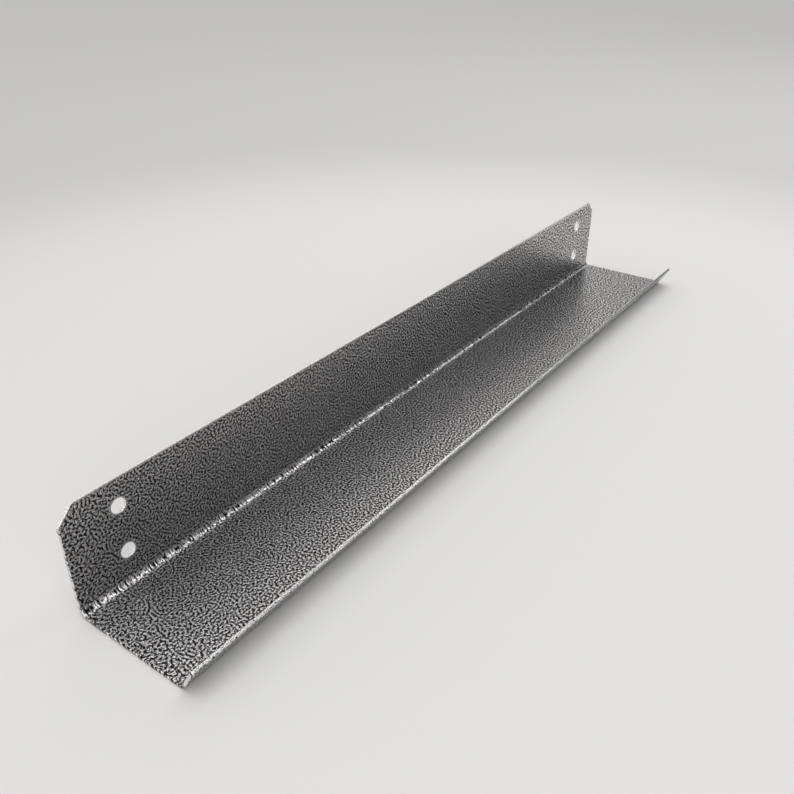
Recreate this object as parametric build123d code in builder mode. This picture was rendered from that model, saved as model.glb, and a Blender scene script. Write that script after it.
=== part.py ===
"""Corner brace: one long strip of sheet steel, folded twice.

A tall flange stands at the rear and takes four screws. A flat shelf runs forward
from its foot, and a narrow lip turns up along the shelf's front edge, leaning out.
The whole strip carries one thick coat, so every size is measured over the coat.

Frame, in millimetres: X runs along the folds, +Y points out of the flange's rear
face, +Z is up. The origin is under the middle of the brace, at its underside.
"""

from build123d import *

import math
import os

# Overall sizes
length = 450.0  # along the folds
flange_height = 50.8  # underside of the shelf to the top edge of the flange
shelf_depth = 59.0  # rear face of the flange to the sharp line of the lip's fold
lip_length = 14.0  # outer face of the lip, from its sharp fold line to its tip
lip_angle = 60.0  # degrees that the lip is turned up out of the shelf's plane

# Sheet and folds
thickness = 1.5  # sheet with its coat on both sides
inner_bend_radius = 2.5  # both folds
sheared_edge_radius = 0.35  # rounding of the coat over every sheared edge

# Corners of the flange and of the lip
corner_cut = 7.0  # leg of the 45 degree cut at each top end of the flange
corner_cut_radius = 1.2  # rounding of the two points that each cut leaves
lip_corner_radius = 0.8  # rounding of the lip's two square corners

# Screw holes: one above the other near each end of the flange
hole_diameter = 6.5
hole_end_distance = 25.0  # hole centres to the nearest end of the brace
hole_top_distance = 12.5  # upper holes' centres below the flange's top edge
hole_spacing = 22.0  # upper to lower holes' centres
hole_edge_radius = 0.3  # rounding of the coat round each hole's rim

# Sizes that follow from the ones above
outer_bend_radius = inner_bend_radius + thickness
lip_lean_cos = math.cos(math.radians(lip_angle))
lip_lean_sin = math.sin(math.radians(lip_angle))
lip_reach = lip_length * lip_lean_cos
lip_rise = lip_length * lip_lean_sin
lip_tip_rounding = sheared_edge_radius * (lip_lean_cos + lip_lean_sin - 1)  # taken off its reach
overall_depth = shelf_depth + lip_reach - lip_tip_rounding
rear_y = overall_depth / 2
lip_fold_y = rear_y - shelf_depth
hole_columns_apart = length - 2 * hole_end_distance
hole_middle_z = flange_height - hole_top_distance - hole_spacing / 2

tolerance = 0.01  # for telling edges apart by their length or place


def crosses_sheet(edge: Edge) -> bool:
    """Say whether a straight edge runs square through the sheet's thickness."""
    return edge.geom_type == GeomType.LINE and edge.length < thickness + tolerance


def is_fold_line(edge: Edge) -> bool:
    """Say whether an edge is a smooth line where a fold runs out into a flat face."""
    low = edge.center().Z < outer_bend_radius + tolerance
    return low and abs(edge.length - length) < tolerance


with BuildPart() as brace:
    # The outside of the folded sheet, seen from its end: down the rear of the
    # flange, forward under the shelf, and up the outside of the lip.
    with BuildLine(Plane.YZ.offset(length / 2)) as outside:
        FilletPolyline(
            (rear_y, flange_height),
            (rear_y, 0),
            (lip_fold_y, 0),
            (lip_fold_y - lip_reach, lip_rise),
            radius=outer_bend_radius,
        )
    make_brake_formed(thickness, length, line=outside.line, side=Side.RIGHT)

    # The flange's top corners are cut off, and the points that are left are rounded.
    flange_corners = brace.edges().filter_by(crosses_sheet).filter_by(Axis.Y)
    chamfer(flange_corners, corner_cut)
    cut_points = brace.edges().filter_by(crosses_sheet).filter_by(Axis.Y)
    fillet(cut_points, corner_cut_radius)

    # The lip keeps its square corners, only eased.
    lip_corners = brace.edges().filter_by(crosses_sheet).group_by(Axis.Y)[0]
    fillet(lip_corners, lip_corner_radius)

    # The coat rolls over both rims of the sheet.
    sheared_edges = brace.edges().filter_by(
        lambda edge: not crosses_sheet(edge) and not is_fold_line(edge)
    )
    fillet(sheared_edges, sheared_edge_radius)

    # Four screw holes through the flange.
    with Locations(Plane(origin=(0, rear_y, hole_middle_z), x_dir=(1, 0, 0), z_dir=(0, 1, 0))):
        with GridLocations(hole_columns_apart, hole_spacing, 2, 2):
            Hole(hole_diameter / 2, depth=2 * thickness)
    hole_rims = brace.edges(Select.LAST).filter_by(GeomType.CIRCLE)
    fillet(hole_rims, hole_edge_radius)

brace.part.label = "brace"

os.makedirs("parts", exist_ok=True)
export_step(brace.part, "parts/brace.step")
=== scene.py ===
"""A long folded brace in a hammered silver-vein coat, lying on a pale studio floor.

The brace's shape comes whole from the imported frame. This script gives it its coat,
and sets up the floor, the lamps and the camera. Every length is in metres.
"""

import logging
import math
from dataclasses import dataclass, field
from enum import Enum

import bpy
from mathutils import Matrix, Vector


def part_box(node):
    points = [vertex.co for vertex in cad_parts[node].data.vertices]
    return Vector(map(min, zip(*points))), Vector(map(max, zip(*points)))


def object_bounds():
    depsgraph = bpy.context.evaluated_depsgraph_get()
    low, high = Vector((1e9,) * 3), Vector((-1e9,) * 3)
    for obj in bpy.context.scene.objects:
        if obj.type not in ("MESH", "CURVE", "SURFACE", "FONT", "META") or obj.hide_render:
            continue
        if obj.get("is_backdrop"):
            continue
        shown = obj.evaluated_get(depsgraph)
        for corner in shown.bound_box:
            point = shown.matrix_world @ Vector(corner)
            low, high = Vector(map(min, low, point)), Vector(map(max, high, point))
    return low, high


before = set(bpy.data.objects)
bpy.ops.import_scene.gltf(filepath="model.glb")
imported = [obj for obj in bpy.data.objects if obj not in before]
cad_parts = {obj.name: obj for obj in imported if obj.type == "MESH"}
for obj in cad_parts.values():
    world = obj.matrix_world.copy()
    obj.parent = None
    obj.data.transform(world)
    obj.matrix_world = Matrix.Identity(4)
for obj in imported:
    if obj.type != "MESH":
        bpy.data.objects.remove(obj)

LOG = logging.getLogger("brace_scene")
MM = 0.001

Color = tuple[float, float, float]


class NodeKind(Enum):
    """The shader nodes that the finishes are made from."""

    BACKGROUND = "ShaderNodeBackground"
    BUMP = "ShaderNodeBump"
    COORDINATES = "ShaderNodeTexCoord"
    COLOR_MIX = "ShaderNodeMix"
    COMBINE = "ShaderNodeCombineXYZ"
    GABOR = "ShaderNodeTexGabor"
    LIGHT_PATH = "ShaderNodeLightPath"
    MAP_RANGE = "ShaderNodeMapRange"
    MATH = "ShaderNodeMath"
    NOISE = "ShaderNodeTexNoise"
    OUTPUT = "ShaderNodeOutputMaterial"
    PRINCIPLED = "ShaderNodeBsdfPrincipled"
    SEPARATE = "ShaderNodeSeparateXYZ"
    VECTOR_MATH = "ShaderNodeVectorMath"
    WORLD_OUTPUT = "ShaderNodeOutputWorld"


@dataclass
class NodeBoard:
    """A node tree with short calls to add nodes and join them."""

    tree: bpy.types.NodeTree

    def add(self, kind: NodeKind, **settings: object) -> bpy.types.Node:
        """Add one node.

        Args:
            kind: which node to add.
            **settings: the node's own properties, by their names.

        Returns:
            The new node.
        """
        node = self.tree.nodes.new(kind.value)
        for name, value in settings.items():
            setattr(node, name, value)
        return node

    def join(self, output: bpy.types.NodeSocket, target: bpy.types.NodeSocket) -> None:
        """Link an output socket to an input socket.

        Args:
            output: where the value comes from.
            target: the input that takes it.
        """
        self.tree.links.new(output, target)

    def math(
        self,
        operation: str,
        first: bpy.types.NodeSocket | float,
        *others: bpy.types.NodeSocket | float,
    ) -> bpy.types.NodeSocket:
        """Add a sum of one kind.

        Args:
            operation: the sum's name, such as ADD.
            first: the first value, a socket or a number.
            *others: the other values.

        Returns:
            The socket that holds the result.
        """
        node = self.add(NodeKind.MATH, operation=operation)
        for slot, value in zip(node.inputs, (first, *others)):
            if isinstance(value, bpy.types.NodeSocket):
                self.join(value, slot)
            else:
                slot.default_value = value
        return node.outputs["Value"]

    def noise(self, place: bpy.types.NodeSocket, grain: float, detail: float) -> bpy.types.Node:
        """Add a noise texture of a given grain.

        Args:
            place: the coordinates to read.
            grain: size of one lump of the noise, in metres.
            detail: how many finer layers lie on it.

        Returns:
            The noise node.
        """
        node = self.add(NodeKind.NOISE)
        node.inputs["Scale"].default_value = 1.0 / grain
        node.inputs["Detail"].default_value = detail
        self.join(place, node.inputs["Vector"])
        return node

    def smooth_step(
        self,
        value: bpy.types.NodeSocket,
        low: float,
        high: float,
        to_low: float = 0.0,
        to_high: float = 1.0,
    ) -> bpy.types.NodeSocket:
        """Turn a value into a soft step.

        Args:
            value: the value to read.
            low: where the step begins.
            high: where the step ends.
            to_low: what comes out below the step.
            to_high: what comes out above the step.

        Returns:
            The socket that holds the step.
        """
        node = self.add(NodeKind.MAP_RANGE, interpolation_type="SMOOTHSTEP")
        node.inputs["From Min"].default_value = low
        node.inputs["From Max"].default_value = high
        node.inputs["To Min"].default_value = to_low
        node.inputs["To Max"].default_value = to_high
        self.join(value, node.inputs["Value"])
        return node.outputs["Result"]

    def mix_colors(
        self, factor: bpy.types.NodeSocket, low: Color, high: Color
    ) -> bpy.types.NodeSocket:
        """Mix two fixed colours.

        Args:
            factor: 0 gives the first colour and 1 the second.
            low: the first colour.
            high: the second colour.

        Returns:
            The socket that holds the mixed colour.
        """
        node = self.add(NodeKind.COLOR_MIX, data_type="RGBA")
        node.inputs["A"].default_value = (*low, 1.0)
        node.inputs["B"].default_value = (*high, 1.0)
        self.join(factor, node.inputs["Factor"])
        return node.outputs["Result"]


def new_material(name: str) -> tuple[bpy.types.Material, NodeBoard, bpy.types.Node]:
    """Make a material that holds one principled shader.

    Args:
        name: the material's name.

    Returns:
        The material, its node board, and the shader node.
    """
    material = bpy.data.materials.new(name)
    material.use_nodes = True
    material.node_tree.nodes.clear()
    board = NodeBoard(material.node_tree)
    shader = board.add(NodeKind.PRINCIPLED)
    output = board.add(NodeKind.OUTPUT)
    board.join(shader.outputs["BSDF"], output.inputs["Surface"])
    return material, board, shader


@dataclass(frozen=True)
class HammeredCoat:
    """Silver-vein powder coat: raised silver islands between sunken black veins."""

    patch: float = 2.6 * MM  # one random patch of the veins' run
    left_waves: float = 1.60  # veins across a patch at the brace's left end
    right_waves: float = 1.20  # the same at its right end, where the coat is fatter
    fat_end: float = 26.0 * MM  # how far in from the left end the coat is fatter too
    fat_end_waves: float = -0.20  # what that does to the count of veins
    fat_end_relief: float = 1.0  # how much higher the islands stand there
    crumb: float = 0.60 * MM  # lumps that break up the veins' run
    crumb_share: float = 1.1  # how much they count against the veins' run
    vein_level: float = 0.485  # pattern level below which a place is all vein
    island_level: float = 0.575  # pattern level above which a place is all island
    dome_low: float = 0.30  # pattern levels between which an island swells up
    dome_high: float = 0.80
    rim_width: float = 1.30 * MM  # strip along the sheared edges given extra silver, a painted highlight for their bright lines
    rim_painted_highlight: float = 0.40  # how far the pattern's level is raised there, for more silver: painted highlight
    end_spared: float = 0.45  # how much less of that the ends have
    tip_spared: float = 0.48  # how much less of that the lip's tip has
    fold_low: float = 1.8 * MM  # how far from the fold's middle the fold band is full: thicker coat for the relief, extra silver as painted highlight
    fold_high: float = 3.4 * MM  # how far from it the fold band ends
    fold_painted_highlight: float = 0.07  # how far the pattern's level is raised in the fold: more silver, a painted highlight that brightens the bend
    fold_relief: float = 2.2  # how much higher the islands stand there
    silver_dull: Color = (0.72, 0.705, 0.69)
    silver_bright: Color = (1.0, 0.985, 0.965)
    vein_color: Color = (0.004, 0.004, 0.006)
    island_roughness: float = 0.27
    vein_roughness: float = 0.28
    relief: float = 0.055 * MM  # islands' height over the veins
    flake: float = 0.50 * MM  # size of the flakes' glitter on the islands
    flake_dull: float = 0.42  # glitter level below which a flake is all dull
    flake_bright: float = 0.58  # glitter level above which it is all bright
    gloss: float = 0.15  # specular level of the black veins

    def unfold(
        self, board: NodeBoard, fold_y: float, lip_angle: float
    ) -> tuple[bpy.types.NodeSocket, ...]:
        """Lay the folded sheet out flat, so that the pattern runs over the folds.

        Args:
            board: the coat's node board.
            fold_y: where the lip folds up from the shelf.
            lip_angle: the lip's angle above the shelf, in radians.

        Returns:
            The place on the flat sheet, then x, y and z on the folded one.
        """
        folded = board.add(NodeKind.COORDINATES).outputs["Object"]
        split = board.add(NodeKind.SEPARATE)
        board.join(folded, split.inputs["Vector"])
        x, y, z = (split.outputs[axis] for axis in "XYZ")
        over_shelf = board.math("MAXIMUM", y, fold_y)
        past_fold = board.math("MINIMUM", board.math("SUBTRACT", y, fold_y), 0.0)
        up_flange = board.math("MULTIPLY", z, board.math("GREATER_THAN", y, 0.0))
        across = board.math("MULTIPLY_ADD", past_fold, 1 / math.cos(lip_angle), over_shelf)
        flat = board.add(NodeKind.COMBINE)
        board.join(x, flat.inputs["X"])
        board.join(board.math("SUBTRACT", across, up_flange), flat.inputs["Y"])
        return flat.outputs["Vector"], x, y, z

    def pattern_level(
        self,
        board: NodeBoard,
        place: bpy.types.NodeSocket,
        x: bpy.types.NodeSocket,
        fatter: bpy.types.NodeSocket,
        half_length: float,
    ) -> bpy.types.NodeSocket:
        """Draw the run of the veins and the islands between them.

        Args:
            board: the coat's node board.
            place: the place on the flat sheet.
            x: the place along the brace.
            fatter: 1 at the fat left end and 0 away from it.
            half_length: half of the brace's length.

        Returns:
            The pattern's level, low in a vein and high on an island.
        """
        along = board.add(NodeKind.MAP_RANGE)
        along.inputs["From Min"].default_value = -half_length
        along.inputs["From Max"].default_value = half_length
        along.inputs["To Min"].default_value = self.left_waves
        along.inputs["To Max"].default_value = self.right_waves
        board.join(x, along.inputs["Value"])
        waves = board.math("MULTIPLY_ADD", fatter, self.fat_end_waves, along.outputs["Result"])
        veins = board.add(NodeKind.GABOR, gabor_type="2D")
        veins.inputs["Scale"].default_value = 1.0 / self.patch
        veins.inputs["Anisotropy"].default_value = 0.0
        board.join(waves, veins.inputs["Frequency"])
        board.join(place, veins.inputs["Vector"])
        crumbs = board.noise(place, self.crumb, detail=1.0)
        crumb_level = board.math("SUBTRACT", crumbs.outputs["Fac"], 0.5)
        return board.math("MULTIPLY_ADD", crumb_level, self.crumb_share, veins.outputs["Value"])

    def rim(
        self, board: NodeBoard, place: tuple[bpy.types.NodeSocket, ...], outline: "SheetOutline"
    ) -> bpy.types.NodeSocket:
        """Find the strip along the sheet's sheared edges.

        Args:
            board: the coat's node board.
            place: x, y and z on the folded sheet.
            outline: where the sheet's edges are.

        Returns:
            A socket that is 1 on the rim and 0 elsewhere.
        """
        x, y, z = place
        from_middle = board.math("ABSOLUTE", x)
        on_shelf = board.math("LESS_THAN", z, 2 * outline.shelf_face_z)
        to_end = board.math("SUBTRACT", outline.half_length, from_middle)
        to_end = board.math("ADD", to_end, on_shelf)
        to_end = board.math("ADD", to_end, self.end_spared * self.rim_width)
        to_top = board.math("SUBTRACT", outline.top_z, z)
        cut_line = (outline.half_length + outline.top_z - outline.corner_cut) / math.sqrt(2)
        across_cut = board.math("MULTIPLY", board.math("ADD", from_middle, z), -1 / math.sqrt(2))
        to_cut = board.math("ADD", across_cut, cut_line)
        lip_height = board.math("MULTIPLY", y, -math.cos(outline.lip_angle))
        lip_height = board.math("MULTIPLY_ADD", z, math.sin(outline.lip_angle), lip_height)
        to_tip = board.math("SUBTRACT", outline.tip_height, lip_height)
        behind_lip = board.math("GREATER_THAN", y, outline.lip_fold_y)
        to_tip = board.math("ADD", to_tip, behind_lip)
        to_tip = board.math("ADD", to_tip, self.tip_spared * self.rim_width)
        beside_hole = board.math("SUBTRACT", from_middle, outline.hole_x)
        above_hole = board.math("SUBTRACT", z, outline.hole_middle_z)
        above_hole = board.math("SUBTRACT", board.math("ABSOLUTE", above_hole), outline.hole_rise)
        square = board.math("MULTIPLY", beside_hole, beside_hole)
        square = board.math("MULTIPLY_ADD", above_hole, above_hole, square)
        to_hole = board.math("SUBTRACT", board.math("SQRT", square), outline.hole_radius)
        nearest = to_hole
        for distance in (to_end, to_cut, to_top, to_tip):
            nearest = board.math("MINIMUM", nearest, distance)
        return board.smooth_step(nearest, 0.0, self.rim_width, 1.0, 0.0)

    def fold(
        self, board: NodeBoard, place: tuple[bpy.types.NodeSocket, ...], outline: "SheetOutline"
    ) -> bpy.types.NodeSocket:
        """Find the fold between the flange and the shelf.

        Args:
            board: the coat's node board.
            place: x, y and z on the folded sheet.
            outline: where the sheet's faces are.

        Returns:
            A socket that is 1 in the fold and 0 away from it.
        """
        _, y, z = place
        from_flange = board.math("SUBTRACT", outline.flange_face_y, y)
        from_shelf = board.math("SUBTRACT", z, outline.shelf_face_z)
        farther = board.math("MAXIMUM", from_flange, from_shelf)
        return board.smooth_step(farther, self.fold_low, self.fold_high, 1.0, 0.0)

    def build(self, outline: "SheetOutline") -> bpy.types.Material:
        """Build the coat's material.

        Args:
            outline: where the sheet's fold and edges are.

        Returns:
            The material, which reads only the object's own coordinates.
        """
        material, board, shader = new_material("hammered_silver_vein")
        place, *folded_place = self.unfold(board, outline.lip_fold_y, outline.lip_angle)
        left = -outline.half_length
        fatter = board.smooth_step(folded_place[0], left, left + self.fat_end, 1.0, 0.0)
        level = self.pattern_level(board, place, folded_place[0], fatter, outline.half_length)
        rim = self.rim(board, tuple(folded_place), outline)
        # painted highlight: the rim gets more silver islands, so its edges show as bright lines
        level = board.math("MULTIPLY_ADD", rim, self.rim_painted_highlight, level)
        fold = self.fold(board, tuple(folded_place), outline)
        # painted highlight: the fold gets more silver islands, so the bend's highlight comes out
        # brighter
        level = board.math("MULTIPLY_ADD", fold, self.fold_painted_highlight, level)
        island = board.smooth_step(level, self.vein_level, self.island_level)
        dome = board.smooth_step(level, self.dome_low, self.dome_high)
        flakes = board.noise(place, self.flake, detail=0.0)
        glitter = board.smooth_step(flakes.outputs["Fac"], self.flake_dull, self.flake_bright)

        silver = board.mix_colors(glitter, self.silver_dull, self.silver_bright)
        color = board.add(NodeKind.COLOR_MIX, data_type="RGBA")
        color.inputs["A"].default_value = (*self.vein_color, 1.0)
        board.join(island, color.inputs["Factor"])
        board.join(silver, color.inputs["B"])
        board.join(color.outputs["Result"], shader.inputs["Base Color"])
        board.join(island, shader.inputs["Metallic"])
        shader.inputs["Specular IOR Level"].default_value = self.gloss

        roughness = board.add(NodeKind.MAP_RANGE)
        roughness.inputs["To Min"].default_value = self.vein_roughness
        roughness.inputs["To Max"].default_value = self.island_roughness
        board.join(island, roughness.inputs["Value"])
        board.join(roughness.outputs["Result"], shader.inputs["Roughness"])

        bump = board.add(NodeKind.BUMP)
        bump.inputs["Strength"].default_value = 1.0
        bump.inputs["Distance"].default_value = self.relief
        swell = board.math("MULTIPLY_ADD", fold, self.fold_relief, 1.0)
        swell = board.math("MULTIPLY_ADD", fatter, self.fat_end_relief, swell)
        board.join(board.math("MULTIPLY", dome, swell), bump.inputs["Height"])
        board.join(bump.outputs["Normal"], shader.inputs["Normal"])
        return material


@dataclass(frozen=True)
class PaperFloor:
    """Matt studio paper, a little darker far from the object: painted shade for the light falling
    off away from it.
    """

    near_color: Color = (0.730, 0.725, 0.713)
    # the colour far out holds painted shade
    far_shade_color: Color = (0.585, 0.581, 0.573)
    fade_start: float = 0.31  # distance from the middle where the painted shade begins
    fade_end: float = 0.62
    roughness: float = 0.75
    gloss: float = 0.2  # specular level

    def build(self) -> bpy.types.Material:
        """Build the paper's material.

        Returns:
            The material.
        """
        material, board, shader = new_material("studio_paper")
        place = board.add(NodeKind.COORDINATES).outputs["Object"]
        distance = board.add(NodeKind.VECTOR_MATH, operation="LENGTH")
        board.join(place, distance.inputs[0])
        # painted shade: the paper darkens with distance from the middle
        fade = board.smooth_step(distance.outputs["Value"], self.fade_start, self.fade_end)
        color = board.mix_colors(fade, self.near_color, self.far_shade_color)
        board.join(color, shader.inputs["Base Color"])
        shader.inputs["Roughness"].default_value = self.roughness
        shader.inputs["Specular IOR Level"].default_value = self.gloss
        return material


@dataclass(frozen=True)
class SheetOutline:
    """Where the sheet's faces, folds, sheared edges and holes are."""

    half_length: float
    top_z: float
    flange_face_y: float
    shelf_face_z: float
    lip_fold_y: float
    lip_angle: float
    tip_height: float  # the lip's tip, measured along the lip from the origin
    corner_cut: float
    hole_x: float  # from the middle to each pair of holes
    hole_middle_z: float
    hole_rise: float  # from the pair's middle to each hole
    hole_radius: float


@dataclass
class Brace:
    """The folded sheet: flange, shelf and lip in one piece, as the frame holds it."""

    node_name: str = "brace"
    thickness: float = 1.5 * MM
    shelf_depth: float = 59.0 * MM  # rear face to the lip's fold
    lip_length: float = 14.0 * MM
    lip_angle: float = 60.0  # degrees above the shelf
    corner_cut: float = 7.0 * MM  # along each side of the flange's cut corners
    hole_diameter: float = 6.5 * MM
    hole_end_distance: float = 25.0 * MM
    hole_top_distance: float = 12.5 * MM
    hole_spacing: float = 22.0 * MM
    coat: HammeredCoat = field(default_factory=HammeredCoat)

    def outline(self) -> SheetOutline:
        """Work out where the sheet's features are.

        Returns:
            The sheet's outline.
        """
        low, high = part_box(self.node_name)
        angle = math.radians(self.lip_angle)
        lip_fold_y = high.y - self.shelf_depth
        return SheetOutline(
            half_length=high.x,
            top_z=high.z,
            flange_face_y=high.y - self.thickness,
            shelf_face_z=low.z + self.thickness,
            lip_fold_y=lip_fold_y,
            lip_angle=angle,
            tip_height=self.lip_length - lip_fold_y * math.cos(angle),
            corner_cut=self.corner_cut,
            hole_x=high.x - self.hole_end_distance,
            hole_middle_z=high.z - self.hole_top_distance - self.hole_spacing / 2,
            hole_rise=self.hole_spacing / 2,
            hole_radius=self.hole_diameter / 2,
        )

    def dress(self) -> bpy.types.Object:
        """Give the sheet its coat.

        Returns:
            The dressed object.
        """
        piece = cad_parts[self.node_name]
        piece.data.materials.clear()
        piece.data.materials.append(self.coat.build(self.outline()))
        low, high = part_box(self.node_name)
        size = (high - low) / MM
        LOG.info("%s dressed, %.1f x %.1f x %.1f mm", piece.name, size.x, size.y, size.z)
        return piece


@dataclass
class Floor:
    """A wide round sheet of paper under the brace."""

    radius: float = 6.0
    sides: int = 96
    paper: PaperFloor = field(default_factory=PaperFloor)

    def build(self, height: float) -> bpy.types.Object:
        """Lay the floor.

        Args:
            height: the level of its top.

        Returns:
            The floor object.
        """
        turn = 2 * math.pi / self.sides
        rim = [
            (self.radius * math.cos(step * turn), self.radius * math.sin(step * turn), 0.0)
            for step in range(self.sides)
        ]
        mesh = bpy.data.meshes.new("studio_floor")
        mesh.from_pydata(rim, [], [range(self.sides)])
        mesh.materials.append(self.paper.build())
        floor = bpy.data.objects.new("studio_floor", mesh)
        floor.location.z = height
        bpy.context.scene.collection.objects.link(floor)
        floor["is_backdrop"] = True
        LOG.info("floor laid at %.4f m", height)
        return floor


@dataclass(frozen=True)
class SoftBox:
    """A square lamp with a soft face, aimed at a point."""

    name: str
    azimuth: float  # degrees from +Y towards +X, seen from the object
    height: float  # degrees above level, seen from the object
    distance: float
    side: float
    radiance: float  # brightness of its face, where 1 is white

    def hang(self, target: Vector) -> bpy.types.Object:
        """Hang the lamp.

        Args:
            target: the point that it faces.

        Returns:
            The lamp object.
        """
        azimuth, height = math.radians(self.azimuth), math.radians(self.height)
        level = Vector((math.sin(azimuth), math.cos(azimuth), 0.0)) * math.cos(height)
        away = level + Vector((0.0, 0.0, math.sin(height)))
        data = bpy.data.lights.new(self.name, "AREA")
        data.shape = "SQUARE"
        data.size = self.side
        data.energy = self.radiance * math.pi * self.side**2
        lamp = bpy.data.objects.new(self.name, data)
        lamp.location = target + away * self.distance
        lamp.rotation_euler = (-away).to_track_quat("-Z", "Y").to_euler()
        bpy.context.scene.collection.objects.link(lamp)
        LOG.info("%s hung, side %.2f m", self.name, self.side)
        return lamp


@dataclass(frozen=True)
class Skylight:
    """A wide, even light straight above, the same over the whole floor."""

    half_angle: float = 31.0  # degrees from its middle to its edge
    radiance: float = 1.30  # brightness of its face, where 1 is white

    def hang(self) -> bpy.types.Object:
        """Hang the light.

        Returns:
            The light object.
        """
        half_angle = math.radians(self.half_angle)
        data = bpy.data.lights.new("skylight", "SUN")
        data.angle = 2 * half_angle
        data.energy = self.radiance * math.pi * math.sin(half_angle) ** 2
        lamp = bpy.data.objects.new("skylight", data)
        bpy.context.scene.collection.objects.link(lamp)
        LOG.info("skylight hung")
        return lamp


@dataclass(frozen=True)
class PaleRoom:
    """A pale wall behind the object, a duller ceiling, and a dim front to its right."""

    backdrop_color: Color = (0.56, 0.556, 0.548)  # what the camera itself sees past the floor
    wall_color: Color = (0.90, 0.885, 0.86)
    ceiling_color: Color = (0.44, 0.44, 0.455)
    front_color: Color = (0.09, 0.095, 0.11)
    wall_top: float = 0.56  # sine of the height at which the wall begins to fade
    ceiling_edge: float = 0.80  # sine of the height from which all is ceiling
    front_azimuth: float = 140.0  # degrees from +Y towards +X: the middle of the dim front
    front_narrow: float = 0.75  # how square on a direction is to be all front
    front_wide: float = 0.10  # how square on it is where the front begins

    def build(self) -> bpy.types.World:
        """Build the room's light.

        Returns:
            The world that stands for the room.
        """
        world = bpy.data.worlds.new("pale_room")
        world.use_nodes = True
        world.node_tree.nodes.clear()
        board = NodeBoard(world.node_tree)
        direction = board.add(NodeKind.COORDINATES).outputs["Generated"]
        split = board.add(NodeKind.SEPARATE)
        board.join(direction, split.inputs["Vector"])
        height = board.smooth_step(split.outputs["Z"], self.wall_top, self.ceiling_edge)
        back = board.mix_colors(height, self.wall_color, self.ceiling_color)
        azimuth = math.radians(self.front_azimuth)
        square_on = board.math("MULTIPLY", split.outputs["X"], math.sin(azimuth))
        square_on = board.math("MULTIPLY_ADD", split.outputs["Y"], math.cos(azimuth), square_on)
        room = board.add(NodeKind.COLOR_MIX, data_type="RGBA")
        front = board.smooth_step(square_on, self.front_wide, self.front_narrow)
        board.join(front, room.inputs["Factor"])
        board.join(back, room.inputs["A"])
        room.inputs["B"].default_value = (*self.front_color, 1.0)
        seen = board.add(NodeKind.COLOR_MIX, data_type="RGBA")
        board.join(board.add(NodeKind.LIGHT_PATH).outputs["Is Camera Ray"], seen.inputs["Factor"])
        board.join(room.outputs["Result"], seen.inputs["A"])
        seen.inputs["B"].default_value = (*self.backdrop_color, 1.0)
        background = board.add(NodeKind.BACKGROUND)
        board.join(seen.outputs["Result"], background.inputs["Color"])
        output = board.add(NodeKind.WORLD_OUTPUT)
        board.join(background.outputs["Background"], output.inputs["Surface"])
        return world


@dataclass
class Studio:
    """The floor, the lamps and the pale room round them."""

    floor: Floor = field(default_factory=Floor)
    room: PaleRoom = field(default_factory=PaleRoom)
    skylight: Skylight = field(default_factory=Skylight)
    lamps: tuple[SoftBox, ...] = (
        SoftBox("right_softbox", azimuth=97.0, height=48.0, distance=1.4, side=0.70, radiance=1.6),
        SoftBox("fill_softbox", azimuth=215.0, height=35.0, distance=2.6, side=2.0, radiance=1.3),
    )

    def build(self, low: Vector, high: Vector) -> None:
        """Set up the studio round the object.

        Args:
            low: the object's lowest corner.
            high: the object's highest corner.
        """
        self.floor.build(low.z)
        self.skylight.hang()
        middle = (low + high) / 2
        for lamp in self.lamps:
            lamp.hang(middle)
        bpy.context.scene.world = self.room.build()
        LOG.info("room lit")


@dataclass(frozen=True)
class Viewpoint:
    """A camera that looks down along the brace from beyond its left end."""

    azimuth: float = 53.78  # degrees from +Y towards +X
    pitch: float = 30.64  # degrees below level
    roll: float = -0.12  # degrees
    distance: float = 0.453  # to the aim point
    aim_left_of_middle: float = 0.0200
    aim_front_of_rear: float = 0.0011
    focal_length: float = 36.74  # millimetres on a 36 mm wide picture
    picture_width: float = 36.0

    def place(self, low: Vector, high: Vector) -> bpy.types.Object:
        """Place the camera and make it the scene's own.

        Args:
            low: the object's lowest corner.
            high: the object's highest corner.

        Returns:
            The camera object.
        """
        azimuth, pitch, roll = map(math.radians, (self.azimuth, self.pitch, self.roll))
        forward = Vector((math.sin(azimuth), math.cos(azimuth), 0.0)) * math.cos(pitch)
        forward.z = -math.sin(pitch)
        level = Vector((math.cos(azimuth), -math.sin(azimuth), 0.0))
        upright = level.cross(forward)
        right = math.cos(roll) * level + math.sin(roll) * upright
        up = right.cross(forward)
        middle_x = (low.x + high.x) / 2
        aim = Vector((middle_x - self.aim_left_of_middle, high.y - self.aim_front_of_rear, low.z))
        turn = Matrix((right, up, -forward)).transposed()
        data = bpy.data.cameras.new("camera")
        data.lens = self.focal_length
        data.sensor_width = self.picture_width
        camera = bpy.data.objects.new("camera", data)
        camera.matrix_world = Matrix.Translation(aim - forward * self.distance) @ turn.to_4x4()
        bpy.context.scene.collection.objects.link(camera)
        bpy.context.scene.camera = camera
        LOG.info("camera placed %.3f m from its aim point", self.distance)
        return camera


def main() -> None:
    """Dress the brace, set up the studio and place the camera."""
    logging.basicConfig(level=logging.INFO, format="%(message)s")
    cad_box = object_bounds()
    Brace().dress()
    Studio().build(*cad_box)
    Viewpoint().place(*cad_box)
    bpy.context.scene.view_settings.view_transform = "Standard"


if __name__ == "__main__":
    main()
